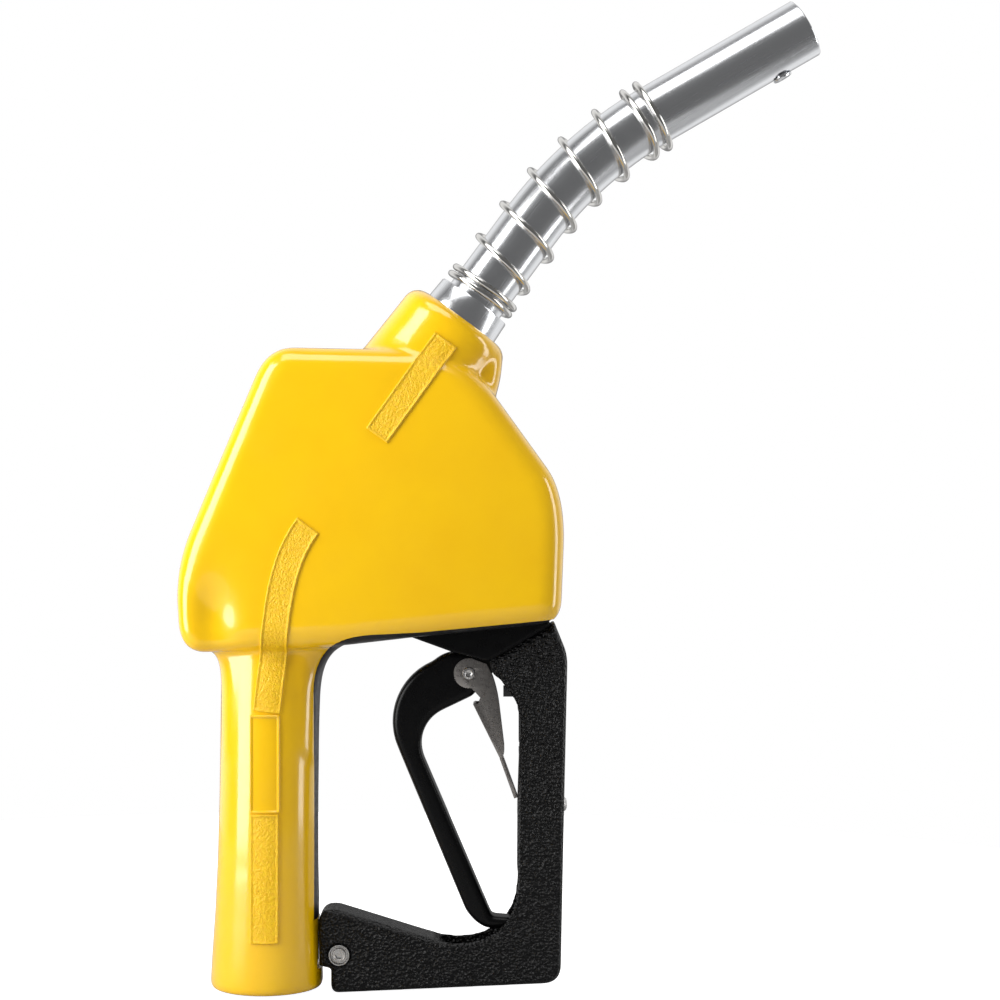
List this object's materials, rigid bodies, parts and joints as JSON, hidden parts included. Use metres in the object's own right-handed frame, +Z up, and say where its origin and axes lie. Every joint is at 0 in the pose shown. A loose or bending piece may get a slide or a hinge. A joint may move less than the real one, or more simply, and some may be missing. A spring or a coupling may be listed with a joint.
{
  "type": "fuel nozzle",
  "caption": "automatic shut-off fuel nozzle with a jacketed body and handle, a squeeze lever inside a guard with a hold-open clip, and a bent spout wound with spring wire",
  "frame": {"origin": "centre of the hose inlet face at the foot of the handle", "axes": "+Z up along the handle, +X from the handle towards the lever guard, +Y across the nozzle, whose middle plane is Y = 0"},
  "size_m": [0.2527, 0.054, 0.3912],
  "materials": {
    "yellow_jacket": "glossy moulded vinyl",
    "black_casting": "satin black coating",
    "black_plastic": "leather-grained moulding",
    "lever_plastic": "smooth moulding",
    "spout_aluminium": "drawn and polished",
    "bright_steel": "bright spring wire",
    "stamped_steel": "stamped stainless sheet",
    "screw_steel": "turned",
    "valve_brass": "machined",
    "seal_rubber": "moulded nitrile",
    "vent_nylon": "extruded"
  },
  "bodies": {
    "nozzle": {"nozzle_body": "black_casting", "body_cover": "yellow_jacket", "lever_bracket": "black_casting", "bracket_screw_1": "screw_steel", "bracket_screw_2": "screw_steel", "inlet_seal": "seal_rubber", "inlet_strainer": "valve_brass", "lever_guard": "black_plastic", "guard_screw": "screw_steel", "guard_screw_nut": "screw_steel", "guard_pin": "screw_steel", "hold_open_rack": "black_casting", "rack_rivet": "screw_steel", "plunger_spring": "bright_steel", "latch_ring": "valve_brass", "diaphragm": "seal_rubber", "latch_spring": "bright_steel", "diaphragm_cap": "spout_aluminium", "packing_gland": "valve_brass", "stem_seal": "seal_rubber", "main_seat": "valve_brass", "main_spring": "bright_steel", "spout_adapter": "spout_aluminium", "spout_o_ring": "seal_rubber", "spout_screw": "screw_steel", "spout_tube": "spout_aluminium", "spout_spring": "bright_steel", "vent_tube": "vent_nylon", "vent_port_bushing": "valve_brass", "check_seat": "valve_brass", "check_guide": "valve_brass"},
    "plunger": {"plunger": "screw_steel"},
    "ball_1": {"latch_ball_1": "screw_steel"},
    "ball_2": {"latch_ball_2": "screw_steel"},
    "ball_3": {"latch_ball_3": "screw_steel"},
    "latch": {"latch_pin": "screw_steel", "diaphragm_washer": "valve_brass"},
    "valve": {"valve_stem": "screw_steel", "poppet_seal": "seal_rubber", "main_poppet": "valve_brass"},
    "lever": {"lever": "lever_plastic", "lever_pin": "screw_steel", "clip_rivet": "screw_steel", "clip_spring": "bright_steel"},
    "clip": {"hold_open_clip": "stamped_steel"},
    "check": {"check_poppet": "valve_brass", "check_spring": "bright_steel"}
  },
  "joints": [
    {"name": "plunger_slide", "type": "slide", "parent": "nozzle", "child": "plunger", "axis": [0, 0, -1], "range_m": [0, 0.0065], "stiffness_N_per_m": 900, "springref_m": -0.01, "deforming": ["plunger_spring"]},
    {"name": "lever_squeeze", "type": "hinge", "parent": "plunger", "child": "lever", "pos_m": [0.098, 0, 0.134], "axis": [0, 1, 0], "range_deg": [0, 17], "stiffness_Nm_per_rad": 0.8, "springref_deg": -28.65},
    {"name": "clip_follow", "type": "hinge", "parent": "lever", "child": "clip", "pos_m": [0.0802, 0, 0.125], "axis": [0, 1, 0], "range_deg": [-17.2, 0]},
    {"name": "valve_lift", "type": "slide", "parent": "nozzle", "child": "valve", "axis": [0, 0, 1], "range_m": [0, 0.0075], "deforming": ["main_spring"]},
    {"name": "latch_release", "type": "slide", "parent": "nozzle", "child": "latch", "axis": [0, 0, 1], "range_m": [0, 0.004], "stiffness_N_per_m": 300, "springref_m": -0.01, "deforming": ["latch_spring", "diaphragm"]},
    {"name": "ball_in_1", "type": "slide", "parent": "plunger", "child": "ball_1", "axis": [-1, 0, 0], "range_m": [0, 0.00095]},
    {"name": "ball_in_2", "type": "slide", "parent": "plunger", "child": "ball_2", "axis": [0.5, -0.866, 0], "range_m": [0, 0.00095]},
    {"name": "ball_in_3", "type": "slide", "parent": "plunger", "child": "ball_3", "axis": [0.5, 0.866, 0], "range_m": [0, 0.00095]},
    {"name": "check_open", "type": "slide", "parent": "nozzle", "child": "check", "axis": [0.5948, 0, 0.8039], "range_m": [0, 0.0055], "stiffness_N_per_m": 200, "springref_m": -0.01}
  ],
  "couplings": [
    {"joint": "clip_follow", "follows": "lever_squeeze", "ratio": -1},
    {"joint": "valve_lift", "follows": "lever_squeeze", "m_per_rad": 0.0245},
    {"joint": "ball_in_1", "follows": "latch_release", "ratio": 0.225},
    {"joint": "ball_in_2", "follows": "latch_release", "ratio": 0.225},
    {"joint": "ball_in_3", "follows": "latch_release", "ratio": 0.225}
  ]
}
